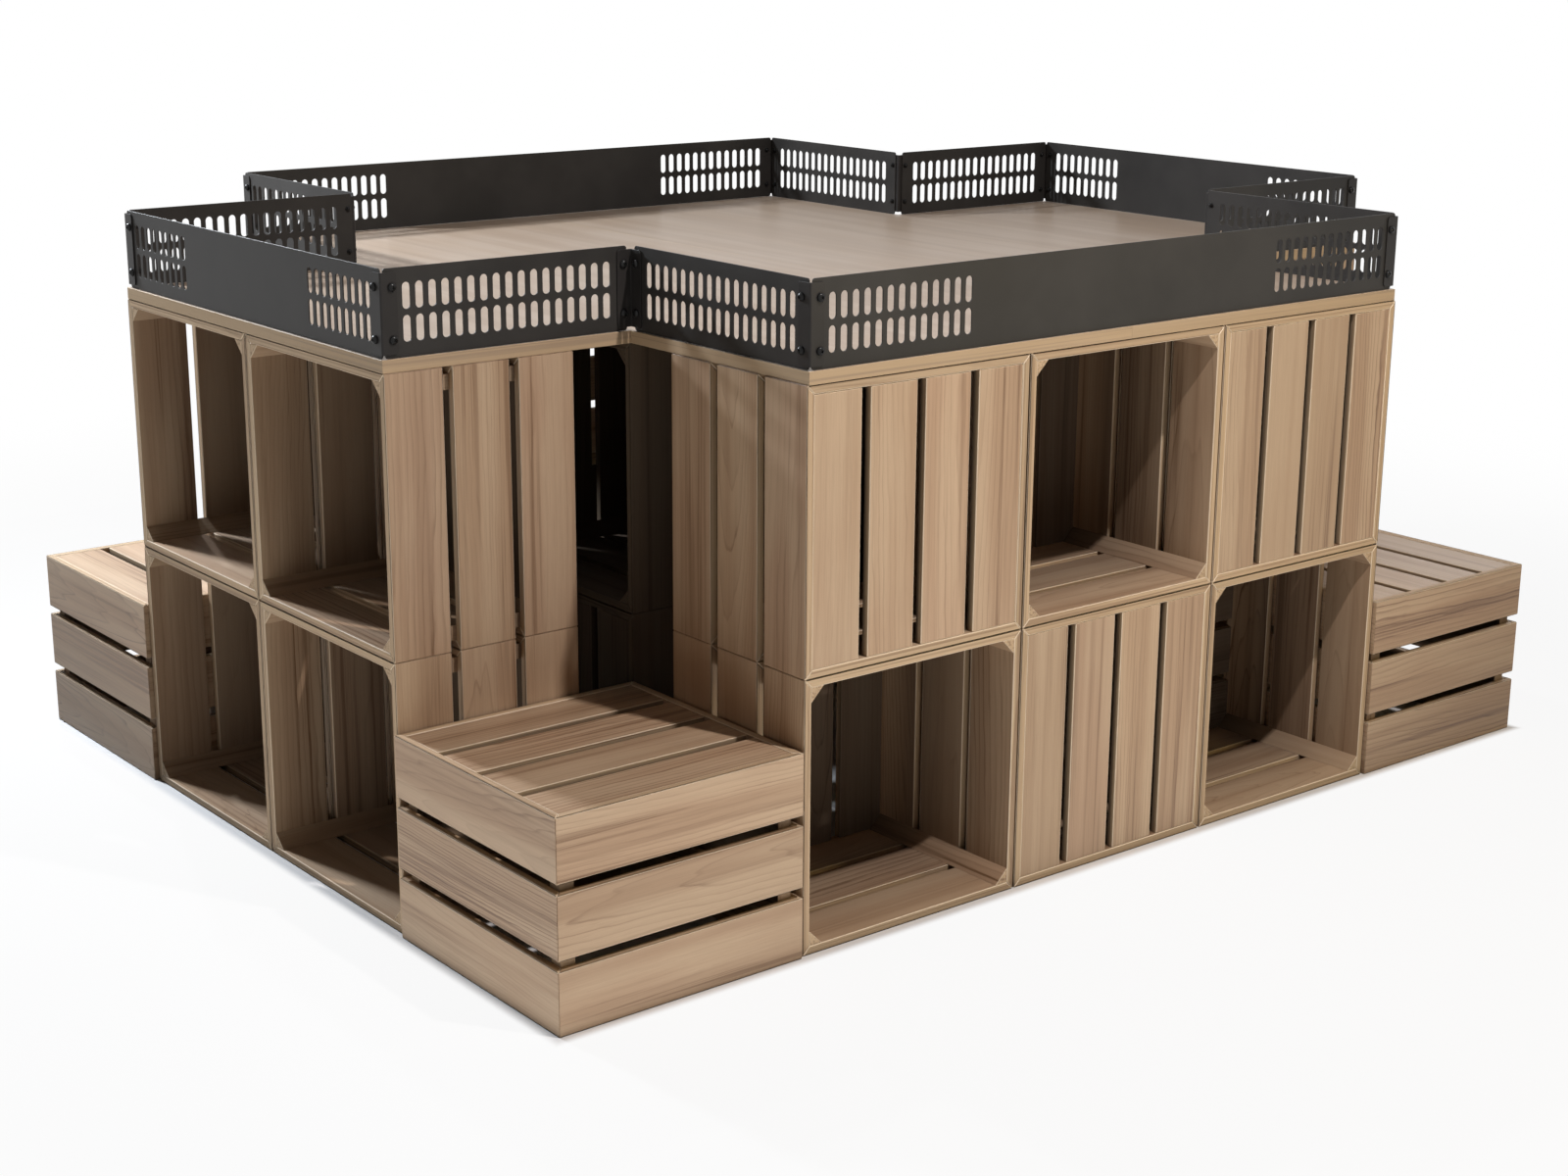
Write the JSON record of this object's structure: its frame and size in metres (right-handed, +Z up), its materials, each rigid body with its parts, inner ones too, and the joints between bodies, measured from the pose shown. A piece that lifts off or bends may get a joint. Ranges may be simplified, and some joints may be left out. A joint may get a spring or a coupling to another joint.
{
  "type": "crate display stand",
  "caption": "Cross-shaped shop display stand of stacked slatted wooden crates, with a tabletop inside a slotted steel fence and a loose upturned crate in each corner.",
  "frame": {"origin": "on the floor under the middle of the stand", "axes": "+X along the long arm of the cross to the right, +Y from the front to the back, +Z up"},
  "size_m": [2.014, 1.609, 0.9389],
  "materials": {
    "crate_wood": "matt brown wood-grain foil with paler board edges",
    "tabletop_wood": "satin pale wood-grain laminate",
    "fence_steel": "satin black powder coat",
    "bracket_steel": "satin black powder coat, with black bolts"
  },
  "bodies": {
    "stand": {"crate_front_lower_left": "crate_wood", "crate_front_lower_middle": "crate_wood", "crate_front_lower_right": "crate_wood", "crate_front_upper_left": "crate_wood", "crate_front_upper_middle": "crate_wood", "crate_front_upper_right": "crate_wood", "crate_back_lower_left": "crate_wood", "crate_back_lower_middle": "crate_wood", "crate_back_lower_right": "crate_wood", "crate_back_upper_left": "crate_wood", "crate_back_upper_middle": "crate_wood", "crate_back_upper_right": "crate_wood", "crate_left_lower_front": "crate_wood", "crate_left_lower_back": "crate_wood", "crate_left_upper_front": "crate_wood", "crate_left_upper_back": "crate_wood", "crate_right_lower_front": "crate_wood", "crate_right_lower_back": "crate_wood", "crate_right_upper_front": "crate_wood", "crate_right_upper_back": "crate_wood", "crate_core_left_lower": "crate_wood", "crate_core_left_upper": "crate_wood", "crate_core_right_lower": "crate_wood", "crate_core_right_upper": "crate_wood", "tabletop_left": "tabletop_wood", "tabletop_right": "tabletop_wood", "fence_front": "fence_steel", "fence_front_arm_right": "fence_steel", "fence_right_arm_front": "fence_steel", "fence_right": "fence_steel", "fence_right_arm_back": "fence_steel", "fence_back_arm_right": "fence_steel", "fence_back": "fence_steel", "fence_back_arm_left": "fence_steel", "fence_left_arm_back": "fence_steel", "fence_left": "fence_steel", "fence_left_arm_front": "fence_steel", "fence_front_arm_left": "fence_steel", "bracket_front_arm_left": "bracket_steel", "bracket_front_arm_right": "bracket_steel", "bracket_inner_front_right": "bracket_steel", "bracket_right_arm_front": "bracket_steel", "bracket_right_arm_back": "bracket_steel", "bracket_inner_back_right": "bracket_steel", "bracket_back_arm_right": "bracket_steel", "bracket_back_arm_left": "bracket_steel", "bracket_inner_back_left": "bracket_steel", "bracket_left_arm_back": "bracket_steel", "bracket_left_arm_front": "bracket_steel", "bracket_inner_front_left": "bracket_steel"},
    "corner_crate_front_left": {"corner_crate_front_left": "crate_wood"},
    "corner_crate_back_left": {"corner_crate_back_left": "crate_wood"},
    "corner_crate_front_right": {"corner_crate_front_right": "crate_wood"},
    "corner_crate_back_right": {"corner_crate_back_right": "crate_wood"}
  },
  "joints": [
    {"name": "corner_crate_front_left_slide", "type": "slide", "parent": "stand", "child": "corner_crate_front_left", "axis": [0, -1, 0], "range_m": [0, 0.4]},
    {"name": "corner_crate_back_left_slide", "type": "slide", "parent": "stand", "child": "corner_crate_back_left", "axis": [0, 1, 0], "range_m": [0, 0.4]},
    {"name": "corner_crate_front_right_slide", "type": "slide", "parent": "stand", "child": "corner_crate_front_right", "axis": [0, -1, 0], "range_m": [0, 0.4]},
    {"name": "corner_crate_back_right_slide", "type": "slide", "parent": "stand", "child": "corner_crate_back_right", "axis": [0, 1, 0], "range_m": [0, 0.4]}
  ]
}
